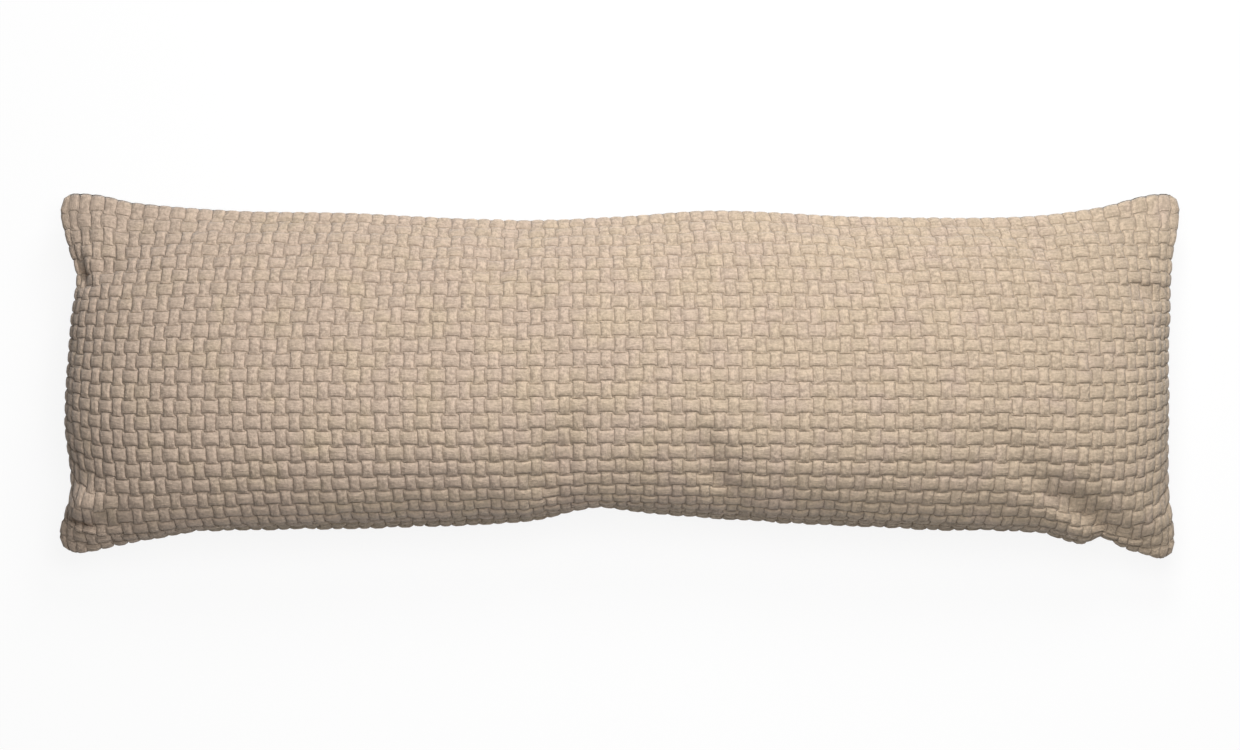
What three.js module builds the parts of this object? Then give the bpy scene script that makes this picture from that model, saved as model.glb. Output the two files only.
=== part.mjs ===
// Lumbar pillow in chunky basket-weave cloth, lying on its back: one filled solid, millimetres, +Z up.
// Two equal panels are sewn together all round, so one function shapes both, and they share the seam.
// x runs along the pillow, y across it, from the fuller long edge at the bottom to the flatter one.
import * as THREE from 'three';

const { clamp, degToRad, lerp } = THREE.MathUtils;

// Filled size
const clothLength = 914; // each panel's length as sewn flat
const clothHeight = 305; // and its height
const seamHeight = 49; // how high the seam lies above the surface
const earDroop = 13; // how much lower it lies at the four ears
const droopFade = { along: 8, across: 4 }; // the higher, the nearer to the ears the droop stays
const frontCrown = 64; // how far the front panel rises above the seam
const backCrown = 68; // how far the back panel would drop below it, if nothing held it up
const softContact = 8; // how far above the surface the back panel begins to flatten

// Where the seams run, seen from above. Each edge's ends are its ears.
const topEdge = [
  { x: -455, y: 150 },
  { x: -428, y: 147 },
  { x: -400, y: 140 },
  { x: -320, y: 133 },
  { x: -225, y: 131 },
  { x: -145, y: 127 },
  { x: -75, y: 125 },
  { x: 0, y: 128 },
  { x: 80, y: 133 },
  { x: 200, y: 128 },
  { x: 330, y: 128 },
  { x: 395, y: 136 },
  { x: 433, y: 147 },
  { x: 456, y: 150 },
];
const bottomEdge = [
  { x: -452, y: -145 },
  { x: -430, y: -144 },
  { x: -405, y: -137 },
  { x: -340, y: -127 },
  { x: -180, y: -122 },
  { x: -80, y: -117 },
  { x: -25, y: -108 },
  { x: 30, y: -111 },
  { x: 120, y: -118 },
  { x: 245, y: -124 },
  { x: 335, y: -128 },
  { x: 372, y: -136 },
  { x: 386, y: -131 },
  { x: 410, y: -142 },
  { x: 432, y: -149 },
  { x: 446, y: -150 },
];
const leftEdge = [
  { y: -145, x: -452 },
  { y: -125, x: -450 },
  { y: -96, x: -441 },
  { y: -40, x: -446 },
  { y: 40, x: -443 },
  { y: 79, x: -440 },
  { y: 106, x: -448 },
  { y: 130, x: -455 },
  { y: 150, x: -455 },
];
const rightEdge = [
  { y: -150, x: 446 },
  { y: -125, x: 444 },
  { y: -95, x: 440 },
  { y: -40, x: 440 },
  { y: 30, x: 442 },
  { y: 90, x: 446 },
  { y: 122, x: 453 },
  { y: 150, x: 456 },
];
const earRadii = { left: { bottom: 18, top: 12 }, right: { bottom: 16, top: 15 } };

// Each long seam is a level line, a sweep out to the ears by a power of the distance from the middle, and
// the dents that the edge table adds. The two reaches say how far in the cloth still follows them.
const topSeam = { edge: topEdge, level: 129, sweep: 21, power: 6, sweepReach: 30, dentReach: 45 };
const bottomSeam = { edge: bottomEdge, level: -121, sweep: -28, power: 5, sweepReach: 45, dentReach: 20 };
const shortSeams = { level: 444, reach: 45 };

// How far the long seams gather the cloth in along the pillow. Middles are shares of half its length, and
// the cloth is not drawn along where it is straightAt, a share of the way from the bottom seam.
const gather = { top: 17, topMiddle: -0.2, bottom: 13, bottomMiddle: 0.1, straightAt: 0.46, power: 8 };
const seamGather = 0.85; // how much the cloth closes up at the ears as it does in between
const evenEnds = 0.8; // the higher, the more evenly the cloth is spread across at the ends

// How steep the full part of the pillow is, in degrees, along the cloth's way from the bottom seam to
// the top one. More than 90 is cloth that bulges out past its seam.
const slopeAcross = [
  { way: 0, slope: 112 },
  { way: 0.05, slope: 95 },
  { way: 0.1, slope: 70 },
  { way: 0.15, slope: 52 },
  { way: 0.2, slope: 38 },
  { way: 0.25, slope: 28 },
  { way: 0.32, slope: 16 },
  { way: 0.4, slope: 4 },
  { way: 0.5, slope: -6 },
  { way: 0.61, slope: -14 },
  { way: 0.73, slope: -22 },
  { way: 0.84, slope: -31 },
  { way: 0.91, slope: -39 },
  { way: 1, slope: -48 },
];

// The same from either short seam inwards, over millimetres of cloth
const slopeAlong = [
  { way: 0, slope: 85 },
  { way: 12, slope: 72 },
  { way: 24, slope: 57 },
  { way: 40, slope: 42 },
  { way: 65, slope: 29 },
  { way: 110, slope: 14 },
  { way: 160, slope: 5 },
  { way: 220, slope: 0 },
];

// Troughs in the front panel: the middle, the direction in degrees from +x, the half length and half
// width, and the share of the panel's rise that is lost at the middle
const troughs = [
  { name: 'pull at the bottom, left of middle', x: -52, y: -88, turn: 65, long: 36, wide: 13, share: 0.16 },
  { name: 'pull at the bottom, right of middle', x: 78, y: -90, turn: 115, long: 36, wide: 14, share: 0.12 },
  { name: 'crease across the lower left ear', x: -430, y: -113, turn: -20, long: 26, wide: 7, share: 0.75 },
  { name: 'trough into the lower right ear', x: 385, y: -120, turn: -22, long: 42, wide: 10, share: 0.45 },
  { name: 'pucker at the left seam', x: -427, y: 82, turn: 8, long: 20, wide: 9, share: 0.45 },
  { name: 'pucker at the right seam', x: 426, y: 62, turn: -4, long: 20, wide: 8, share: 0.3 },
];

// The mesh over each panel
const columns = 64;
const rows = 24;
const crowding = 0.6; // 0 spaces the mesh evenly, 1 crowds it towards the seams

const basketWeave = new THREE.MeshStandardMaterial({ color: 0xc3ad93, roughness: 0.95, metalness: 0 });

// A smooth curve through a table's rows: cubic pieces that take each row's slope from its neighbours
function curveThrough(table, from, to) {
  const last = table.length - 1;
  const steepness = table.map((row, i) => {
    const before = table[Math.max(i - 1, 0)];
    const after = table[Math.min(i + 1, last)];
    return (after[to] - before[to]) / (after[from] - before[from]);
  });
  return (at) => {
    const i = clamp(table.findIndex((row) => row[from] > at) - 1, 0, last - 1);
    const piece = at >= table[last][from] ? last - 1 : i;
    const span = table[piece + 1][from] - table[piece][from];
    const t = clamp((at - table[piece][from]) / span, 0, 1);
    const first = (1 + 2 * t) * (1 - t) ** 2;
    const lean = t * (1 - t) ** 2 * steepness[piece] - t ** 2 * (1 - t) * steepness[piece + 1];
    return first * table[piece][to] + (1 - first) * table[piece + 1][to] + span * lean;
  };
}

// Walks along a line of cloth of the given slopes and notes how far it has gone and risen
function walkCloth(table, length) {
  const slope = curveThrough(table, 'way', 'slope');
  const steps = 200;
  const step = length / steps;
  const walk = [{ way: 0, run: 0, rise: 0 }];
  for (let i = 0; i < steps; i += 1) {
    const angle = degToRad(slope((i + 0.5) * step));
    const here = walk[i];
    walk.push({
      way: here.way + step,
      run: here.run + step * Math.cos(angle),
      rise: here.rise + step * Math.sin(angle),
    });
  }
  return walk;
}

// Across the pillow: run goes from 0 at the outermost cloth to 1 at the top seam, and rise from 0 at
// both seams to 1 at the crown. Where the pillow is less full, run is nearer to the cloth's own way.
function profileAcross() {
  const walk = walkCloth(slopeAcross, 1);
  const end = walk.at(-1);
  const lift = walk.map((point) => point.rise - end.rise * point.way);
  const crown = Math.max(...lift);
  const table = walk.map(({ way, run }, i) => ({ way, run: run / end.run, rise: lift[i] / crown }));
  const run = curveThrough(table, 'way', 'run');
  return {
    run: (v, full) => {
      const outermost = Math.min(...table.map((point) => lerp(point.way, point.run, full)));
      return (lerp(v, run(v), full) - outermost) / (1 - outermost);
    },
    rise: curveThrough(table, 'way', 'rise'),
  };
}

// Along the pillow: the same at both ends, with level cloth between them
function profileAlong() {
  const endLength = slopeAlong.at(-1).way;
  const walk = walkCloth(slopeAlong, endLength);
  const end = walk.at(-1);
  const run = curveThrough(walk, 'way', 'run');
  const rise = curveThrough(walk, 'way', 'rise');
  const total = clothLength - 2 * (endLength - end.run);
  return {
    run: (share) => {
      const way = Math.min(share, 1 - share) * clothLength;
      const gone = way < endLength ? run(way) : way - endLength + end.run;
      return share < 0.5 ? gone / total : 1 - gone / total;
    },
    rise: (share) => rise(Math.min(share, 1 - share) * clothLength) / end.rise,
  };
}

// Draws a point near an ear in, so that the ear's corner becomes an arc
function roundEar(x, y, corner, radius) {
  const p = clamp(1 - Math.abs(x - corner.x) / radius, 0, 1);
  const q = clamp(1 - Math.abs(y - corner.y) / radius, 0, 1);
  return {
    x: x - Math.sign(corner.x) * radius * p * (1 - Math.sqrt(1 - q ** 2 / 2)),
    y: y - Math.sign(corner.y) * radius * q * (1 - Math.sqrt(1 - p ** 2 / 2)),
  };
}

// The share of the rise that the troughs leave at a point
function leftByTroughs(x, y) {
  return troughs.reduce((left, trough) => {
    const turn = degToRad(trough.turn);
    const lengthways = (x - trough.x) * Math.cos(turn) + (y - trough.y) * Math.sin(turn);
    const sideways = (y - trough.y) * Math.cos(turn) - (x - trough.x) * Math.sin(turn);
    const depth = Math.exp(-((lengthways / trough.long) ** 2) - (sideways / trough.wide) ** 2);
    return left * (1 - trough.share * depth);
  }, 1);
}

// How far below the seam the back panel lies: as it falls freely, then eased on to the surface
function restOn(drop, seam) {
  const free = seam - softContact;
  if (drop <= free) return drop;
  const past = Math.min(drop - free, 2 * softContact);
  return free + past - past ** 2 / (4 * softContact);
}

const across = profileAcross();
const along = profileAlong();
const leftSeam = curveThrough(leftEdge, 'y', 'x');
const rightSeam = curveThrough(rightEdge, 'y', 'x');
const ears = {
  left: { bottom: bottomEdge[0], top: topEdge[0] },
  right: { bottom: bottomEdge.at(-1), top: topEdge.at(-1) },
};

// What a long seam adds to y, depth millimetres of cloth in from it
function longSeamShift(seam, share, depth) {
  const [start, end] = [seam.edge[0].x, seam.edge.at(-1).x];
  const sweep = seam.sweep * Math.abs(2 * share - 1) ** seam.power;
  const dents = curveThrough(seam.edge, 'x', 'y')(lerp(start, end, share)) - seam.level - sweep;
  return sweep * Math.exp(-depth / seam.sweepReach) + dents * Math.exp(-depth / seam.dentReach);
}

// How far along the pillow the long seams draw the cloth, away from the middle if more than 0
function drawnAlong(u, v) {
  const s = 2 * u - 1;
  const up = clamp((v - gather.straightAt) / (1 - gather.straightAt), 0, 1) ** 2;
  const down = clamp((gather.straightAt - v) / gather.straightAt, 0, 1) ** 2;
  const inside = 1 - Math.abs(s) ** gather.power;
  const atTop = gather.top * up * (s - gather.topMiddle);
  const atBottom = gather.bottom * down * (s - gather.bottomMiddle);
  return -inside * (atTop + atBottom);
}

// A point of the front or back panel, from its shares of the cloth's length and height
function panelPoint(u, v, isFront) {
  const side = u < 0.5 ? 'left' : 'right';
  const end = v < 0.5 ? 'bottom' : 'top';
  const fullAcross = across.rise(v);
  const fullAlong = along.rise(u);
  const gathered = lerp(u, along.run(u), lerp(seamGather, 1, fullAcross));
  const atX = gathered + drawnAlong(u, v) / clothLength;
  const atY = across.run(v, fullAlong ** evenEnds);
  const sewnY = lerp(bottomSeam.level, topSeam.level, atY)
    + longSeamShift(bottomSeam, atX, atY * clothHeight) * (1 - atY)
    + longSeamShift(topSeam, atX, (1 - atY) * clothHeight) * atY;
  const { level, reach } = shortSeams;
  const sewnX = lerp(-level, level, atX)
    + (leftSeam(sewnY) + level) * Math.exp((-atX * clothLength) / reach) * (1 - atX)
    + (rightSeam(sewnY) - level) * Math.exp(((atX - 1) * clothLength) / reach) * atX;
  const { x, y } = roundEar(sewnX, sewnY, ears[side][end], earRadii[side][end]);
  const droop = Math.abs(2 * u - 1) ** droopFade.along * Math.abs(2 * v - 1) ** droopFade.across;
  const seam = seamHeight - earDroop * droop;
  const full = fullAcross * fullAlong;
  const z = isFront ? seam + frontCrown * full * leftByTroughs(x, y) : seam - restOn(backCrown * full, seam);
  return [x, y, z];
}

// Shares along one direction of the mesh, closer together near the seams
function meshShares(count) {
  return Array.from({ length: count + 1 }, (_, i) => {
    const even = i / count;
    return lerp(even, (1 - Math.cos(Math.PI * even)) / 2, crowding);
  });
}

// Both panels on one list of points: the back one takes its rim from the front one
function pillowGeometry() {
  const points = [];
  const faces = [];
  const us = meshShares(columns);
  const vs = meshShares(rows);
  const addPanel = (isFront, rim) => {
    const grid = vs.map((v, j) => us.map((u, i) => {
      const onRim = i === 0 || j === 0 || i === columns || j === rows;
      if (rim && onRim) return rim[j][i];
      points.push(...panelPoint(u, v, isFront));
      return points.length / 3 - 1;
    }));
    for (let j = 0; j < rows; j += 1) {
      for (let i = 0; i < columns; i += 1) {
        const [a, b, c, d] = [grid[j][i], grid[j][i + 1], grid[j + 1][i + 1], grid[j + 1][i]];
        faces.push(...(isFront ? [a, b, c, a, c, d] : [a, c, b, a, d, c]));
      }
    }
    return grid;
  };
  addPanel(false, addPanel(true));
  const geometry = new THREE.BufferGeometry();
  geometry.setAttribute('position', new THREE.Float32BufferAttribute(points, 3));
  geometry.setIndex(faces);
  geometry.computeBoundingBox();
  const middle = geometry.boundingBox.getCenter(new THREE.Vector3());
  geometry.translate(-middle.x, -middle.y, 0);
  geometry.computeVertexNormals();
  return geometry;
}

const pillow = new THREE.Mesh(pillowGeometry(), basketWeave);
pillow.name = 'pillow';

const part = new THREE.Group();
part.add(pillow);

export default part;
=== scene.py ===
import math

import bpy
import numpy as np
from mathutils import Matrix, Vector


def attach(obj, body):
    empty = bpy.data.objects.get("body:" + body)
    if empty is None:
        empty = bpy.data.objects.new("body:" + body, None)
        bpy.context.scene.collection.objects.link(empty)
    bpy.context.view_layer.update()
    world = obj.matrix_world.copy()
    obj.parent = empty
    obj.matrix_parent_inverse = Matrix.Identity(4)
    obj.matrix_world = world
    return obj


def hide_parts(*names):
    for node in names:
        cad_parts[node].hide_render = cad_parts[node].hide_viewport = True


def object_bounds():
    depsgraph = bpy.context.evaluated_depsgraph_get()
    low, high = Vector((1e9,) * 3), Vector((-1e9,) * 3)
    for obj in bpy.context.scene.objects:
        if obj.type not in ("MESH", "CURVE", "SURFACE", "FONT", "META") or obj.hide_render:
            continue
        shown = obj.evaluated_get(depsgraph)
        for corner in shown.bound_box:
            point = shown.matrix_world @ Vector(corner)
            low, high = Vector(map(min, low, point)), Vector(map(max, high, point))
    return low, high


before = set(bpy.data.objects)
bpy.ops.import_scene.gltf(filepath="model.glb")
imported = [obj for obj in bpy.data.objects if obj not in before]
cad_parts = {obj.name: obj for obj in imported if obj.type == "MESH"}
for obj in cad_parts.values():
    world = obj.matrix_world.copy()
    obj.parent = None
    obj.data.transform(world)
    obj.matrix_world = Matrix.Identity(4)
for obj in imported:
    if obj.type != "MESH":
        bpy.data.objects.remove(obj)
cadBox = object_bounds()
print("frame loaded")

mm = 0.001


# Pillow shape

pillow = {
    "clothLength": 914 * mm,
    "clothHeight": 305 * mm,
    "seamHeight": 49 * mm,
    "earDroop": 13 * mm,        # how much lower the seam lies at the ears
    "droopAlong": 8,            # the higher, the nearer to the ears the droop stays
    "droopAcross": 4,
    "frontCrown": 64 * mm,
    "backCrown": 68 * mm,       # before the surface holds it up
    "softContact": 8 * mm,      # where the back begins to flatten
    # the seams seen from above, each as (x, y) points in millimetres from ear to ear
    "topEdge": [(-455, 150), (-428, 147), (-400, 140), (-320, 133), (-225, 131), (-145, 127), (-75, 125),
                (0, 128), (80, 133), (200, 128), (330, 128), (395, 136), (433, 147), (456, 150)],
    "bottomEdge": [(-452, -145), (-430, -144), (-405, -137), (-340, -127), (-180, -122), (-80, -117),
                   (-25, -108), (30, -111), (120, -118), (245, -124), (335, -128), (372, -136),
                   (386, -131), (410, -142), (432, -149), (446, -150)],
    "leftEdge": [(-452, -145), (-450, -125), (-441, -96), (-446, -40), (-443, 40), (-440, 79), (-448, 106),
                 (-455, 130), (-455, 150)],
    "rightEdge": [(446, -150), (444, -125), (440, -95), (440, -40), (442, 30), (446, 90), (453, 122),
                  (456, 150)],
    "earRadius": {"bottomLeft": 18 * mm, "bottomRight": 16 * mm, "topLeft": 12 * mm, "topRight": 15 * mm},
    # what a seam's line is made of: its level, its sweep out to the ears with the sweep's power, and
    # how far in from it the cloth still follows the sweep and the dents
    "topLine": {"level": 129 * mm, "sweep": 21 * mm, "power": 6, "sweepReach": 30 * mm, "dentReach": 45 * mm},
    "bottomLine": {"level": -121 * mm, "sweep": -28 * mm, "power": 5, "sweepReach": 45 * mm,
                   "dentReach": 20 * mm},
    "endLine": {"level": 444 * mm, "reach": 45 * mm},
    # how far the seams pull the cloth's columns towards the middle, and where the columns stand straight
    "topPull": 17 * mm,
    "topPullMiddle": -0.2,      # shares of half the length
    "bottomPull": 13 * mm,
    "bottomPullMiddle": 0.1,
    "straightRow": 0.46,
    "pullPower": 8,
    "seamGather": 0.85,         # how far the columns close up at the ears as they do in between
    "seamStiff": 60,            # the higher, the nearer to the seams the creases run
    "evenEnds": 0.8,            # the higher, the more evenly the rows are spread at the ends
    # (share of the cloth's way across, slope in degrees), from the bottom seam to the top one
    "slopeAcross": [(0, 112), (0.05, 95), (0.1, 70), (0.15, 52), (0.2, 38), (0.25, 28), (0.32, 16), (0.4, 4),
                    (0.5, -6), (0.61, -14), (0.73, -22), (0.84, -31), (0.91, -39), (1, -48)],
    # (millimetres of cloth in from a short seam, slope in degrees)
    "slopeAlong": [(0, 85), (12, 72), (24, 57), (40, 42), (65, 29), (110, 14), (160, 5), (220, 0)],
    # (x, y, direction in degrees, half length, half width, share of the rise lost) in the front panel
    "troughs": [(-52, -88, 65, 36, 13, 0.16), (78, -90, 115, 36, 14, 0.12), (-430, -113, -20, 26, 7, 0.75),
                (385, -120, -22, 42, 10, 0.45), (-427, 82, 8, 20, 9, 0.45), (426, 62, -4, 20, 8, 0.3)],
    # creases in the front panel, each a groove beside a roll of cloth that lies to the left of its direction:
    # (x, y, direction in degrees, half length, groove's half width and depth, roll's half width and height,
    # and how far the roll leans over the groove)
    "creases": [(-436, -118, -20, 19, 3.6, 10.0, 12, 15.0, 8.0), (-62, -98, -24, 22, 4, 1.8, 10, 1.0, 0),
                (82, -96, -20, 20, 4, 1.8, 10, 1.0, 0), (395, -127, -14, 24, 3.5, 3.0, 9, 3.0, 1.5),
                (-434, 82, -70, 12, 5.5, 9.0, 9, 4.0, 2.0), (432, 92, -12, 10, 2.6, 1.0, 5, 0.6, 0),
                (432, 66, -6, 12, 2.6, 1.2, 5, 0.8, 0), (430, 38, 2, 10, 2.6, 1.0, 5, 0.6, 0),
                (-436, 20, 8, 10, 2.6, 1.0, 5, 0.6, 0), (-437, -48, -8, 10, 2.6, 1.0, 5, 0.6, 0)],
}


# Cubic pieces through points, with each point's slope taken from its two neighbours
def curveThrough(points, at):
    xs, ys = np.array(points, float).T
    index = np.arange(len(xs))
    before, after = np.maximum(index - 1, 0), np.minimum(index + 1, len(xs) - 1)
    slopes = (ys[after] - ys[before]) / (xs[after] - xs[before])
    i = np.clip(np.searchsorted(xs, at, side="right") - 1, 0, len(xs) - 2)
    span = xs[i + 1] - xs[i]
    t = np.clip((at - xs[i]) / span, 0, 1)
    first = (1 + 2 * t) * (1 - t) ** 2
    lean = t * (1 - t) ** 2 * slopes[i] - t ** 2 * (1 - t) * slopes[i + 1]
    return first * ys[i] + (1 - first) * ys[i + 1] + span * lean


# The sums of cos and sin of a slope table along the cloth: how far it has gone and risen
def walkCloth(table, length, steps=200):
    ways = np.linspace(0, length, steps + 1)
    slopes = np.radians(curveThrough(table, (ways[1:] + ways[:-1]) / 2))
    run = np.concatenate([[0], np.cumsum(np.cos(slopes))]) * length / steps
    rise = np.concatenate([[0], np.cumsum(np.sin(slopes))]) * length / steps
    return ways, run, rise


def mix(a, b, share):
    return a + (b - a) * share


# 0 to 1 with level ends: t^2 (3 - 2t)
def eased(t):
    return t * t * (3 - 2 * t)


# Rise (0 at both seams, 1 at the crown) and run (0 at the outermost cloth, 1 at the top seam) of the
# cloth across the pillow; where it is less full, run comes nearer to the cloth's own way
def shapeAcross(v, full, samples=21):
    ways, run, rise = walkCloth(pillow["slopeAcross"], 1)
    rise = rise - rise[-1] * ways
    fullRun = run / run[-1]
    fulls = np.linspace(0, 1, samples)
    outermost = np.min(mix(ways[None, :], fullRun[None, :], fulls[:, None]), axis=1)
    edge = np.interp(full, fulls, outermost)
    share = (mix(v, np.interp(v, ways, fullRun), full) - edge) / (1 - edge)
    return share, np.interp(v, ways, rise / rise.max())


# The same along the pillow: both ends follow one slope table, with level cloth between them
def shapeAlong(u):
    endLength = pillow["slopeAlong"][-1][0] * mm
    ways, run, rise = walkCloth(pillow["slopeAlong"], pillow["slopeAlong"][-1][0])
    length = pillow["clothLength"]
    way = np.minimum(u, 1 - u) * length
    gone = np.interp(way, ways * mm, run * mm) + np.maximum(way - endLength, 0)
    total = length - 2 * (endLength - run[-1] * mm)
    share = np.where(u < 0.5, gone / total, 1 - gone / total)
    return share, np.interp(way, ways * mm, rise / rise[-1])


# Turns a square corner into an arc: near it, each distance p, q (1 at the edge, 0 a radius away)
# becomes p sqrt(1 - q q / 2), q sqrt(1 - p p / 2)
def roundEars(x, y):
    ears = {"bottomLeft": pillow["bottomEdge"][0], "bottomRight": pillow["bottomEdge"][-1],
            "topLeft": pillow["topEdge"][0], "topRight": pillow["topEdge"][-1]}
    for name, (cornerX, cornerY) in ears.items():
        radius = pillow["earRadius"][name]
        sideX, sideY = np.sign(cornerX), np.sign(cornerY)
        p = np.clip(1 - np.abs(x - cornerX * mm) / radius, 0, 1)
        q = np.clip(1 - np.abs(y - cornerY * mm) / radius, 0, 1)
        x = x - sideX * radius * p * (1 - np.sqrt(1 - q ** 2 / 2))
        y = y - sideY * radius * q * (1 - np.sqrt(1 - p ** 2 / 2))
    return x, y


# Millimetres along a line and to its left: a point's offset from the line's middle, turned by its direction
def alongAndLeft(x, y, middleX, middleY, turn):
    c, s = math.cos(math.radians(turn)), math.sin(math.radians(turn))
    dx, dy = x / mm - middleX, y / mm - middleY
    return dx * c + dy * s, dy * c - dx * s


# The share of the rise that the troughs leave: 1 less a soft elliptical bump for each
def leftByTroughs(x, y):
    left = np.ones_like(x)
    for middleX, middleY, turn, long, wide, share in pillow["troughs"]:
        along, sideways = alongAndLeft(x, y, middleX, middleY, turn)
        left = left * (1 - share * np.exp(-(along / long) ** 2 - (sideways / wide) ** 2))
    return left


# How the creases move the front panel: every groove and roll is a bell, exp(-distance^2), in both
# directions. The roll's middle lies one half width to the side, and it leans back over the groove.
def creaseMoves(x, y):
    moves = np.zeros(x.shape + (3,))
    for middleX, middleY, turn, long, narrow, deep, wide, high, lean in pillow["creases"]:
        along, sideways = alongAndLeft(x, y, middleX, middleY, turn)
        roll, groove = np.exp(-(sideways / wide - 1) ** 2), np.exp(-(sideways / narrow) ** 2)
        leanX, leanY = lean * math.sin(math.radians(turn)), -lean * math.cos(math.radians(turn))
        towards = np.stack([leanX * roll, leanY * roll, high * roll - deep * groove], axis=-1)
        moves = moves + towards * np.exp(-(along / long) ** 2)[..., None] * mm
    return moves


# How far below the seam the back lies: as it falls freely, then eased by a parabola on to the surface
def restOn(drop, seam):
    soft = pillow["softContact"]
    past = np.clip(drop - (seam - soft), 0, 2 * soft)
    return np.minimum(drop, seam - soft) + past - past ** 2 / (4 * soft)


# What a long seam adds to y at a depth in from it: its sweep and its dents, each fading by
# exp(-depth / reach)
def seamShift(edge, line, share, depth):
    seam = curveThrough(edge, mix(edge[0][0], edge[-1][0], share)) * mm
    sweep = line["sweep"] * np.abs(2 * share - 1) ** line["power"]
    dents = seam - line["level"] - sweep
    return sweep * np.exp(-depth / line["sweepReach"]) + dents * np.exp(-depth / line["dentReach"])


# What a short seam adds to x, fading in the same way
def endShift(edge, side, y, depth):
    turned = [(alongY, alongX) for alongX, alongY in edge]
    line = pillow["endLine"]
    return (curveThrough(turned, y / mm) * mm - side * line["level"]) * np.exp(-depth / line["reach"])


# How far the seams pull a column to the middle: s (1 - |s|^power), growing with the square of the
# distance from the row where the columns stand straight
def columnPull(u, v):
    s = 2 * u - 1
    straight = pillow["straightRow"]
    up = np.clip((v - straight) / (1 - straight), 0, 1) ** 2
    down = np.clip((straight - v) / straight, 0, 1) ** 2
    ends = 1 - np.abs(s) ** pillow["pullPower"]
    atTop = pillow["topPull"] * up * (s - pillow["topPullMiddle"])
    atBottom = pillow["bottomPull"] * down * (s - pillow["bottomPullMiddle"])
    return ends * (atTop + atBottom)


# A panel's surface over its cloth: u, v are shares of the cloth's length and height. x and y run between
# the seams' levels, moved by what each seam adds, and the height is the seam's plus or minus the crown
# times both rises
def panelSurface(u, v, isFront):
    length, height = pillow["clothLength"], pillow["clothHeight"]
    shareX, fullAlong = shapeAlong(u)
    shareY, fullAcross = shapeAcross(v, fullAlong ** pillow["evenEnds"])
    gathered = mix(pillow["seamGather"], 1, fullAcross)
    share = mix(u, shareX, gathered) - columnPull(u, v) / length
    top, bottom = pillow["topLine"], pillow["bottomLine"]
    y = mix(bottom["level"], top["level"], shareY)
    y = y + seamShift(pillow["bottomEdge"], bottom, share, shareY * height) * (1 - shareY)
    y = y + seamShift(pillow["topEdge"], top, share, (1 - shareY) * height) * shareY
    x = pillow["endLine"]["level"] * (2 * share - 1)
    x = x + endShift(pillow["leftEdge"], -1, y, share * length) * (1 - share)
    x = x + endShift(pillow["rightEdge"], 1, y, (1 - share) * length) * share
    x, y = roundEars(x, y)
    droop = np.abs(2 * u - 1) ** pillow["droopAlong"] * np.abs(2 * v - 1) ** pillow["droopAcross"]
    seam = pillow["seamHeight"] - pillow["earDroop"] * droop
    full = fullAcross * fullAlong
    inside = 1 - np.maximum(np.abs(2 * u - 1), np.abs(2 * v - 1)) ** pillow["seamStiff"]
    if not isFront:
        return np.stack([x, y, seam - restOn(pillow["backCrown"] * full, seam)], axis=-1)
    z = seam + pillow["frontCrown"] * full * leftByTroughs(x, y)
    return np.stack([x, y, z], axis=-1) + creaseMoves(x, y) * inside[..., None]


# Slack in the cover

slack = {
    "cellsAlong": 120,
    "cellsAcross": 42,
    "pressure": 4.0,
    "growth": 0.01,          # how much longer the cloth is than the shape that it is sewn to
    "bending": 4.0,
    "frames": 20,
    "cap": 6 * mm,           # how far a point may move
    "lies": 0.5 * mm,        # cloth lower than this lies on the surface, and is held there
    "swellAlong": 11,        # cells over which the general swelling is averaged, to be taken off again
    "swellAcross": 7,
    "endCells": 10,
}


# The four corners of each cell of a grid, anticlockwise from the lower left one, or else clockwise
def cellCorners(grid, clockwise=False):
    corners = [grid[:-1, :-1], grid[:-1, 1:], grid[1:, 1:], grid[1:, :-1]]
    if clockwise:
        corners = corners[:1] + corners[:0:-1]
    return np.stack(corners, axis=2)


# The simulation: a panel's cloth, held at its seams and where it lies flat, swells under pressure for some
# frames. Returns how far each point of the coarse grid moved.
def swellCloth(start, held, isFront):
    index = np.arange(held.size).reshape(held.shape)
    quads = cellCorners(index).reshape(-1, 4)
    mesh = bpy.data.meshes.new("slackCloth")
    mesh.from_pydata(start.reshape(-1, 3).tolist(), [], (quads if isFront else quads[:, ::-1]).tolist())
    obj = bpy.data.objects.new("slackCloth", mesh)
    bpy.context.scene.collection.objects.link(obj)
    obj.vertex_groups.new(name="held").add(index[held].tolist(), 1.0, "REPLACE")
    cloth = obj.modifiers.new("slack", "CLOTH")
    cloth.settings.vertex_group_mass = "held"
    cloth.settings.use_pressure = True
    cloth.settings.uniform_pressure_force = slack["pressure"]
    cloth.settings.shrink_min = -slack["growth"]
    cloth.settings.bending_stiffness = slack["bending"]
    cloth.settings.effector_weights.gravity = 0
    cloth.collision_settings.use_collision = False
    cloth.point_cache.frame_end = slack["frames"]
    for frameNumber in range(1, slack["frames"] + 1):
        bpy.context.scene.frame_set(frameNumber)
    evaluated = obj.evaluated_get(bpy.context.evaluated_depsgraph_get()).data
    ended = np.empty(held.size * 3)
    evaluated.vertices.foreach_get("co", ended)
    bpy.data.objects.remove(obj)
    bpy.data.meshes.remove(mesh)
    bpy.context.scene.frame_set(1)
    return ended.reshape(start.shape) - start


# A bell-shaped average over a number of points: each row of the matrix holds exp(-(i - j)^2 / 2 size^2)
# over the row's sum
def averaging(count, size):
    index = np.arange(count)
    weights = np.exp(-((index[:, None] - index[None, :]) / size) ** 2 / 2)
    return weights / weights.sum(axis=1, keepdims=True)


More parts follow.
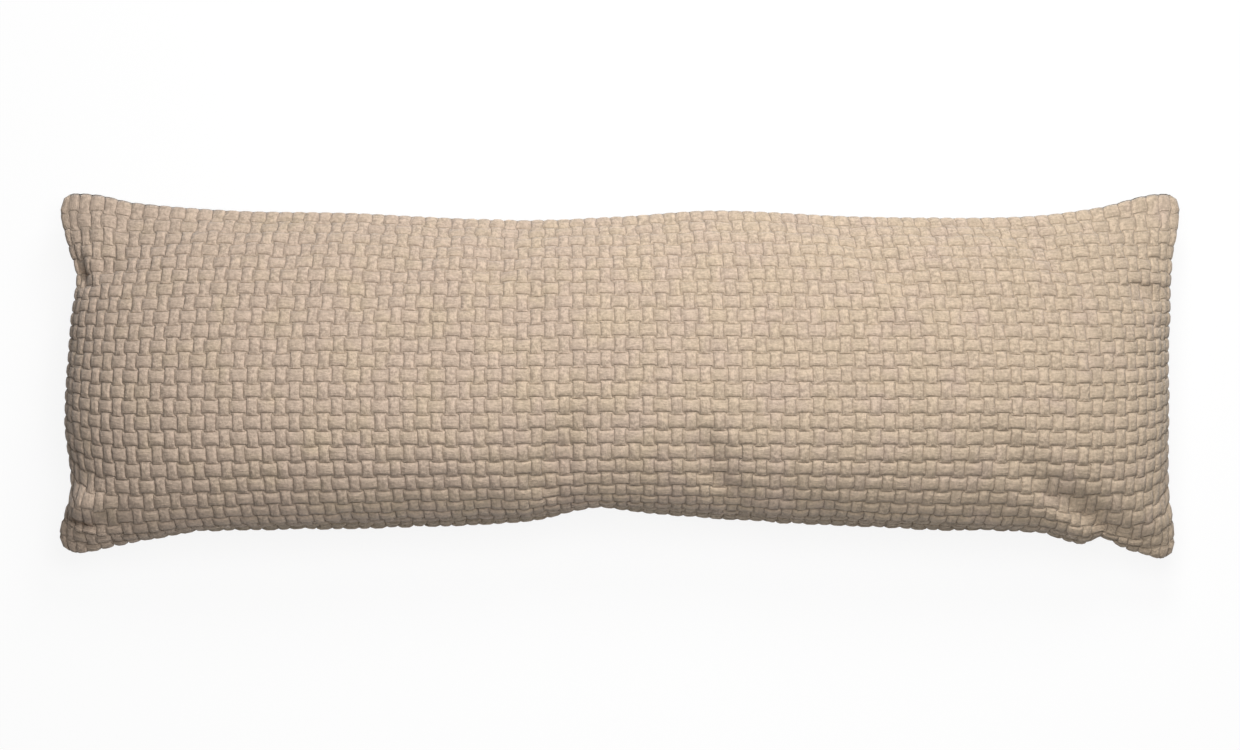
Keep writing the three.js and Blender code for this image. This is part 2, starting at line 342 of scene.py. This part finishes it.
# A panel's puckers on the coarse grid: the moves less their average along the nearer pair of seams
def puckers(isFront):
    nx, ny = slack["cellsAlong"], slack["cellsAcross"]
    u, v = np.meshgrid(np.linspace(0, 1, nx + 1), np.linspace(0, 1, ny + 1))
    start = panelSurface(u, v, isFront)
    held = (u == 0) | (u == 1) | (v == 0) | (v == 1) | (start[..., 2] < slack["lies"])
    moves = swellCloth(start, held, isFront)
    along = np.einsum("ik,jkc->jic", averaging(nx + 1, slack["swellAlong"]), moves)
    across = np.einsum("jk,kic->jic", averaging(ny + 1, slack["swellAcross"]), moves)
    inside = np.clip(np.minimum(u, 1 - u) * nx / slack["endCells"], 0, 1)[..., None]
    moves = moves - mix(across, along, eased(inside))
    length = np.linalg.norm(moves, axis=-1, keepdims=True)
    moves = moves * slack["cap"] / (slack["cap"] + length)
    print("cloth swelled:", "front" if isFront else "back")
    return moves * (1 - held[..., None])


# The shares of the four nearest points in a cubic B-spline, a way t past the second of them
def splineShares(t):
    return [(1 - t) ** 3 / 6, (3 * t ** 3 - 6 * t ** 2 + 4) / 6, (-3 * t ** 3 + 3 * t ** 2 + 3 * t + 1) / 6,
            t ** 3 / 6]


# Reads a coarse grid smoothly at any u, v: the B-spline over its 4 by 4 nearest points, with the grid
# carried on by one point past each edge
def readGrid(grid, u, v):
    ny, nx = grid.shape[0] - 1, grid.shape[1] - 1
    grid = np.pad(grid, ((1, 1), (1, 1), (0, 0)), mode="reflect", reflect_type="odd")
    gx, gy = u * nx, v * ny
    i, j = np.minimum(np.floor(gx), nx - 1).astype(int), np.minimum(np.floor(gy), ny - 1).astype(int)
    result = 0
    for dy, weightY in enumerate(splineShares(gy - j)):
        for dx, weightX in enumerate(splineShares(gx - i)):
            reach = np.minimum(i + dx, nx + 2), np.minimum(j + dy, ny + 2)
            result = result + grid[reach[1], reach[0]] * (weightX * weightY)[..., None]
    return result


# Basket weave

weave = {
    "columns": 85,
    "rows": 25,
    "lines": (-1.0, -0.84, -0.4, 0.4, 0.84),   # where mesh lines cross a block; -1 is the groove beside it
    "seamLines": (-1.0, -0.6, 0.6),            # the same in the blocks next to the seams
    "seamBlocks": 2,                           # how many of those there are at each end of a row or column
    "swellX": 0.125,                           # how far a raised block pushes its ends out, in blocks
    "swellY": 0.1,
    "square": 8.0,                             # the higher, the straighter the sides of the blocks
    "endFall": 4.2,                            # powers by which a block falls to its ends and its sides
    "sideFall": 6.0,
    "relief": 2.1 * mm,
    "sunk": 0.62,                              # the share of the relief that lies below the pillow's surface
    "wander": 0.03,                            # how far the grooves stray, in blocks
    "wanderSize": 1.4,
    "unevenHeight": 0.16,
    "endCalm": 0.35,                           # the share of the relief that is lost at the ends
    "calmPower": 10,                           # the higher, the nearer to the ends that happens
    "clothEdge": 1.3 * mm,                     # half the thickness of the sewn edge
    "edgeReach": 0.8,                          # how far in the sewn edge's thickness is felt, in blocks
    "seamFold": 0.09,                          # how wide the seam's own sharp fold is, in blocks
    "seamFade": 0.15,                          # how far in from the seam the weave is pressed flat, in blocks
    "scallop": 0.8 * mm,                       # how far the blocks push the sewn edge out between grooves
    "scallopReach": 0.3,                       # how far in that is felt, in blocks
    "scallopLevel": 0.6,                       # the part of a scallop that lies inside the seam's line
    "backShift": 100,                          # blocks from the front panel's part of a pattern to the back's
    "seed": 7,
}


# Places of the mesh lines over a count of blocks: fewer of them in the blocks next to the seams
def meshLines(count):
    few = weave["seamBlocks"]
    start = np.arange(count)[:, None]
    inner = start[few:-few] + (np.array(weave["lines"]) + 1) / 2
    outer = start + (np.array(weave["seamLines"]) + 1) / 2
    return np.concatenate([outer[:few].ravel(), inner.ravel(), outer[-few:].ravel(), [count]])


# Smooth random values over the blocks: random numbers at block corners, eased between them
def unevenField(rng, x, y, size):
    nx, ny = int(weave["columns"] / size) + 3, int(weave["rows"] / size) + 3
    values = rng.uniform(-1, 1, (ny, nx))
    gx, gy = x / size, y / size
    i, j = np.floor(gx).astype(int), np.floor(gy).astype(int)
    tx, ty = eased(gx - i), eased(gy - j)
    low = mix(values[j, i], values[j, i + 1], tx)
    high = mix(values[j + 1, i], values[j + 1, i + 1], tx)
    return mix(low, high, ty)


# Surface normals of a grid of points, from its two directions
def gridNormals(points):
    across = np.gradient(points, axis=0)
    along = np.gradient(points, axis=1)
    normals = np.cross(along, across)
    return normals / np.maximum(np.linalg.norm(normals, axis=-1, keepdims=True), 1e-12)


# A sine wave with squarer shoulders: tanh(k sin) / tanh(k)
def squared(wave):
    return np.tanh(weave["square"] * wave) / np.tanh(weave["square"])


# One panel with its weave: the grid lines follow the stepped grooves, and every block swells between them
def wovenPanel(isFront):
    rng = np.random.default_rng(weave["seed"] + isFront)
    columns, rows = weave["columns"], weave["rows"]
    x, y = np.meshgrid(meshLines(columns), meshLines(rows))
    inward = np.minimum(np.minimum(x, columns - x), np.minimum(y, rows - y))     # blocks in from the seam
    free = np.clip(inward, 0, 1)
    waveX = np.cos(np.pi * x) * squared(np.sin(np.pi * y))
    waveY = np.cos(np.pi * y) * squared(np.sin(np.pi * x))
    strayX = unevenField(rng, x, y, weave["wanderSize"]) * weave["wander"]
    strayY = unevenField(rng, x, y, weave["wanderSize"]) * weave["wander"]
    u = (x + free * (weave["swellX"] * waveX + strayX)) / columns
    v = (y + free * (strayY - weave["swellY"] * waveY)) / rows
    u, v = np.clip(u, 0, 1), np.clip(v, 0, 1)
    base = panelSurface(u, v, isFront)
    base = base + readGrid(puckers(isFront), u, v)
    normals = gridNormals(base) * (1 if isFront else -1)
    i = np.minimum(np.floor(x), columns - 1)
    j = np.minimum(np.floor(y), rows - 1)
    a = np.abs(2 * (x - i) - 1)                  # 0 at a block's middle, 1 at its edges
    b = np.abs(2 * (y - j) - 1)
    isWeft = (i + j) % 2 == 1                    # blocks that run along the pillow
    end = np.where(isWeft, a, b)
    side = np.where(isWeft, b, a)
    block = (1 - end ** weave["endFall"]) * np.sqrt(1 - side ** weave["sideFall"])
    uneven = 1 + weave["unevenHeight"] * unevenField(rng, x, y, 1)
    calm = 1 - weave["endCalm"] * np.abs(2 * u - 1) ** weave["calmPower"]
    height = weave["relief"] * (block * uneven - weave["sunk"]) * calm
    raised = height * np.clip(inward / weave["seamFade"], 0, 1)
    fold = np.clip(inward / weave["seamFold"], 0, 1)
    edge = weave["clothEdge"] * np.exp(-inward / weave["edgeReach"]) * fold
    points = base + normals * (raised + edge)[..., None]
    nearEnd = np.exp(-np.minimum(x, columns - x) / weave["scallopReach"]) * np.sign(x - columns / 2)
    nearLong = np.exp(-np.minimum(y, rows - y) / weave["scallopReach"]) * np.sign(y - rows / 2)
    points[..., 0] += weave["scallop"] * nearEnd * (np.abs(np.sin(np.pi * y)) - weave["scallopLevel"])
    points[..., 1] += weave["scallop"] * nearLong * (np.abs(np.sin(np.pi * x)) - weave["scallopLevel"])
    points[..., 2] = np.maximum(points[..., 2], 0)
    return points, x, y


# Both panels as one closed mesh: the back one shares the front one's rim
def makePillow():
    front, x, y = wovenPanel(True)
    back, _, _ = wovenPanel(False)
    rowsN, columnsN = x.shape
    frontIndex = np.arange(rowsN * columnsN).reshape(rowsN, columnsN)
    backIndex = frontIndex.copy()
    inner = (rowsN - 2) * (columnsN - 2)
    backIndex[1:-1, 1:-1] = rowsN * columnsN + np.arange(inner).reshape(rowsN - 2, columnsN - 2)
    points = np.concatenate([front.reshape(-1, 3), back[1:-1, 1:-1].reshape(-1, 3)])
    middle = (points.max(axis=0) + points.min(axis=0)) / 2
    cadMiddle = (np.array(cadBox[0]) + np.array(cadBox[1])) / 2
    points[:, :2] += (cadMiddle - middle)[:2]
    frontQuads, backQuads = cellCorners(frontIndex), cellCorners(backIndex, clockwise=True)
    quads = np.concatenate([frontQuads.reshape(-1, 4), backQuads.reshape(-1, 4)])
    cells = np.stack([x, y], axis=-1)
    frontUv = cellCorners(cells)
    backUv = cellCorners(cells + [weave["backShift"], 0], clockwise=True)
    uv = np.concatenate([frontUv.reshape(-1, 2), backUv.reshape(-1, 2)])
    mesh = bpy.data.meshes.new("lumbarPillow")
    mesh.from_pydata(points.tolist(), [], quads.tolist())
    mesh.uv_layers.new(name="blocks").data.foreach_set("uv", uv.ravel())
    mesh.polygons.foreach_set("use_smooth", np.ones(len(quads), bool))
    mesh.update()
    obj = bpy.data.objects.new("lumbarPillow", mesh)
    bpy.context.scene.collection.objects.link(obj)
    return obj


pillowObj = makePillow()
print("pillow made:", len(pillowObj.data.polygons), "faces")


# Cloth material

cloth = {
    "straw": (0.485, 0.383, 0.281, 1),     # the two shades that the yarn drifts between
    "rose": (0.482, 0.376, 0.294, 1),
    # painted shade in the grooves between blocks: its dark brown colour, where a groove begins, and how much
    # of that painted shade is laid on
    "groove": (0.22, 0.16, 0.105, 1),
    "grooveStart": 0.88,                   # where a groove begins, from 0 at a block's middle to 1
    "paintedGrooveShade": 0.3,
    "patchSize": 0.4,                      # colour patches per block
    "drift": 0.35,                         # how much more straw there is at the right end than at the left
    "streaksLong": 1.8,                    # streaks per block, along them and across them
    "streaksWide": 5.6,
    "flecks": 5.6,                         # flecks per block
    "uprightShare": 0.5,                   # of the streaks in a block that runs along the pillow
    "darkest": 0.73,                       # the shade between streaks, and what streaks and flecks add
    "streakTone": 0.32,
    "fleckTone": 0.2,
    "seedSpread": 37.0,                    # how far apart the blocks' own patterns lie in the noise
    "streakDetail": 0.6,                   # how much of the noise is its finer part
    "fleckDetail": 0.65,
    "streakRange": (0.36, 0.64),           # the noise's levels between which each of them fades in
    "fleckRange": (0.38, 0.66),
    "patchRange": (0.3, 0.7),
    "streakShare": 0.6,                    # of the threads' depth
    "fleckShare": 0.4,
    "threadDepth": 0.4 * mm,
    "grooveDepth": 0.6 * mm,
    "roughness": 0.92,
    "specular": 0.25,
    "sheen": 0.25,
    "sheenRoughness": 0.5,
}


# Wraps a socket so that shader maths reads as plain arithmetic
class Val:
    def __init__(self, tree, socket):
        self.tree, self.socket = tree, socket

    # A Math node on values that are each a Val or a number
    def maths(self, kind, *values):
        node = self.tree.nodes.new("ShaderNodeMath")
        node.operation = kind
        for slot, value in zip(node.inputs, values):
            if isinstance(value, Val):
                self.tree.links.new(value.socket, slot)
            else:
                slot.default_value = value
        return Val(self.tree, node.outputs[0])

    def __add__(self, other):
        return self.maths("ADD", self, other)

    def __sub__(self, other):
        return self.maths("SUBTRACT", self, other)

    def __rsub__(self, other):
        return self.maths("SUBTRACT", other, self)

    def __mul__(self, other):
        return self.maths("MULTIPLY", self, other)

    def __mod__(self, other):
        return self.maths("MODULO", self, other)

    __radd__, __rmul__ = __add__, __mul__

    def floor(self):
        return self.maths("FLOOR", self)

    def abs(self):
        return self.maths("ABSOLUTE", self)

    def max(self, other):
        return self.maths("MAXIMUM", self, other)


# Builds the node tree of its owner, a material or a world
class Shader:
    def __init__(self, owner):
        owner.use_nodes = True
        self.owner, self.tree = owner, owner.node_tree
        self.tree.nodes.clear()

    # Adds a node: its settings are set first, then its inputs by name or number; returns the node
    def node(self, kind, settings=None, inputs=None):
        node = self.tree.nodes.new(kind)
        for name, value in (settings or {}).items():
            setattr(node, name, value)
        for name, value in (inputs or {}).items():
            socket = node.inputs[name]
            if isinstance(value, Val):
                self.tree.links.new(value.socket, socket)
            elif isinstance(value, bpy.types.NodeSocket):
                self.tree.links.new(value, socket)
            else:
                socket.default_value = value
        return node

    def val(self, node, output=0):
        return Val(self.tree, node.outputs[output])

    # Blends two colours, each a tuple or a socket, by a factor
    def blend(self, factor, a, b, kind="MIX"):
        node = self.node("ShaderNodeMix", {"data_type": "RGBA", "blend_type": kind, "clamp_factor": True},
                         {0: factor, 6: a, 7: b})
        return node.outputs[2]

    # Noise with one bump per unit; roughness is how much of it is its finer part
    def noise(self, vector, roughness=0.5):
        node = self.node("ShaderNodeTexNoise", {"noise_dimensions": "3D"},
                         {"Vector": vector, "Scale": 1.0, "Detail": 2.0, "Roughness": roughness})
        return self.val(node)

    def vector(self, x, y, z=0.0):
        return self.node("ShaderNodeCombineXYZ", None, {"X": x, "Y": y, "Z": z}).outputs[0]

    # 0 below low, 1 above high, eased in between
    def step(self, value, low, high):
        node = self.node("ShaderNodeMapRange", {"interpolation_type": "SMOOTHSTEP"},
                         {"Value": value, "From Min": low, "From Max": high})
        return self.val(node)


def makeCloth():
    s = Shader(bpy.data.materials.new("basketWeaveCloth"))
    uv = s.node("ShaderNodeUVMap", {"uv_map": "blocks"}).outputs[0]
    parts = s.node("ShaderNodeSeparateXYZ", None, {0: uv})
    x, y = s.val(parts, 0), s.val(parts, 1)
    column, row = x.floor(), y.floor()
    a, b = x - column, y - row             # place in the block, 0 to 1
    weft = (column + row) % 2.0            # 1 on blocks that run along the pillow
    fromMiddleX, fromMiddleY = (a - 0.5).abs() * 2.0, (b - 0.5).abs() * 2.0
    endward = fromMiddleX * weft + fromMiddleY * (1 - weft)
    sideward = fromMiddleY * weft + fromMiddleX * (1 - weft)
    blockSeed = s.val(s.node("ShaderNodeTexWhiteNoise", {"noise_dimensions": "2D"},
                             {"Vector": s.vector(column, row)}))

    # the grooves' mask: it sinks them in the bump, and it lays the painted shade in them
    groove = s.step(endward.max(sideward), cloth["grooveStart"], 1.0)
    # fine fibres: flat streaks in every block, upright ones too in the blocks that run along the pillow
    long, wide = cloth["streaksLong"], cloth["streaksWide"]
    blockZ = blockSeed * cloth["seedSpread"]
    flat = s.noise(s.vector(x * long, y * wide, blockZ), cloth["streakDetail"])
    upright = s.noise(s.vector(x * wide, y * long, blockZ), cloth["streakDetail"])
    flecks = s.noise(s.vector(x * cloth["flecks"], y * cloth["flecks"], blockZ), cloth["fleckDetail"])
    uprightShare = weft * cloth["uprightShare"]
    flat, upright = s.step(flat, *cloth["streakRange"]), s.step(upright, *cloth["streakRange"])
    streaks = flat * (1 - uprightShare) + upright * uprightShare
    flecks = s.step(flecks, *cloth["fleckRange"])
    threads = streaks * cloth["streakShare"] + flecks * cloth["fleckShare"]
    height = threads * cloth["threadDepth"] - groove * cloth["grooveDepth"]

    patches = s.noise(s.vector(x * cloth["patchSize"], y * cloth["patchSize"]))
    drift = x * (cloth["drift"] / weave["columns"]) - cloth["drift"] / 2
    colour = s.blend(s.step(patches + drift, *cloth["patchRange"]), cloth["rose"], cloth["straw"])
    shade = cloth["darkest"] + streaks * cloth["streakTone"] + flecks * cloth["fleckTone"]
    colour = s.blend(1.0, colour, s.vector(shade, shade, shade), "MULTIPLY")
    # painted shade: the grooves are darkened towards the dark brown groove colour, standing in for the shade
    # that falls in them
    colour = s.blend(groove * cloth["paintedGrooveShade"], colour, cloth["groove"])

    bump = s.node("ShaderNodeBump", None, {"Strength": 1.0, "Distance": 1.0, "Height": height})
    body = s.node("ShaderNodeBsdfPrincipled", None,
                  {"Base Color": colour, "Roughness": cloth["roughness"],
                   "Specular IOR Level": cloth["specular"], "Sheen Weight": cloth["sheen"],
                   "Sheen Roughness": cloth["sheenRoughness"], "Normal": bump.outputs[0]})
    s.node("ShaderNodeOutputMaterial", None, {"Surface": body.outputs[0]})
    return s.owner


pillowObj.data.materials.append(makeCloth())
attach(pillowObj, "root")
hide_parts("pillow")
print("cloth made")


# Studio

studio = {
    "tilt": 8.0,                      # degrees that the camera leans from straight above to the bottom seam
    "distance": 3.2,
    "aimY": -1.5 * mm,                # a little below the middle, as the picture is framed
    "viewWidth": 0.99944,             # metres that the picture's width takes in at the seam's height
    "sensorWidth": 36.0,
    "floorHalf": 12.0,                # half the floor's width
    "floorTone": 0.88,
    "floorRoughness": 0.8,
    "floorSpecular": 0.1,
    "floorGlow": 0.9,                 # the share of plain white in the floor as the camera sees it
    "keyPlace": (0.25, 0.85, 0.95),   # beyond the top seam, a little to the right
    "keySize": 0.6,
    "keyPower": 11.6,
    "topPlace": (0.1, 0.15, 1.5),
    "topSize": 0.8,
    "topPower": 13.8,
    "skyPower": 0.16,
    "skyLean": 0.9,                   # how much lighter the sky is towards +x
}


def aimAt(obj, place, target):
    obj.location = place
    obj.rotation_euler = (Vector(target) - Vector(place)).to_track_quat("-Z", "Y").to_euler()


def makeFloor():
    size = studio["floorHalf"]
    mesh = bpy.data.meshes.new("floor")
    corners = [(-size, -size, 0), (size, -size, 0), (size, size, 0), (-size, size, 0)]
    mesh.from_pydata(corners, [], [(0, 1, 2, 3)])
    floor = bpy.data.objects.new("floor", mesh)
    bpy.context.scene.collection.objects.link(floor)
    s = Shader(bpy.data.materials.new("floorPaint"))
    tone = studio["floorTone"]
    body = s.node("ShaderNodeBsdfPrincipled", None,
                  {"Base Color": (tone, tone, tone, 1), "Roughness": studio["floorRoughness"],
                   "Specular IOR Level": studio["floorSpecular"]})
    white = s.node("ShaderNodeEmission", None, {"Color": (1, 1, 1, 1), "Strength": 1.0})
    seen = s.val(s.node("ShaderNodeLightPath")) * studio["floorGlow"]      # its first output: is camera ray
    mixed = s.node("ShaderNodeMixShader", None, {0: seen, 1: body.outputs[0], 2: white.outputs[0]})
    s.node("ShaderNodeOutputMaterial", None, {"Surface": mixed.outputs[0]})
    mesh.materials.append(s.owner)


def makeLight(name, place, size, power):
    data = bpy.data.lights.new(name, "AREA")
    data.shape = "DISK"
    data.size = size
    data.energy = power
    light = bpy.data.objects.new(name, data)
    bpy.context.scene.collection.objects.link(light)
    aimAt(light, place, (0, 0, pillow["seamHeight"]))


def makeCamera():
    data = bpy.data.cameras.new("camera")
    camera = bpy.data.objects.new("camera", data)
    bpy.context.scene.collection.objects.link(camera)
    data.sensor_width = studio["sensorWidth"]
    data.lens = data.sensor_width * studio["distance"] / studio["viewWidth"]
    lean = math.radians(studio["tilt"])
    target = Vector((0, studio["aimY"], pillow["seamHeight"]))
    place = target + Vector((0, -math.sin(lean), math.cos(lean))) * studio["distance"]
    aimAt(camera, place, target)
    bpy.context.scene.camera = camera


# The sky's brightness in a direction is its power times 1 + lean x, where x is the direction's own
def makeSky():
    s = Shader(bpy.data.worlds.new("softSky"))
    direction = s.node("ShaderNodeTexCoord").outputs["Generated"]
    parts = s.node("ShaderNodeSeparateXYZ", None, {0: direction})
    brightness = (s.val(parts) * studio["skyLean"] + 1) * studio["skyPower"]
    sky = s.node("ShaderNodeBackground", None, {"Color": (1, 1, 1, 1), "Strength": brightness})
    s.node("ShaderNodeOutputWorld", None, {"Surface": sky.outputs[0]})
    bpy.context.scene.world = s.owner


makeFloor()
makeLight("key", studio["keyPlace"], studio["keySize"], studio["keyPower"])
makeLight("top", studio["topPlace"], studio["topSize"], studio["topPower"])
makeCamera()
makeSky()
bpy.context.scene.view_settings.view_transform = "Standard"
print("studio made")
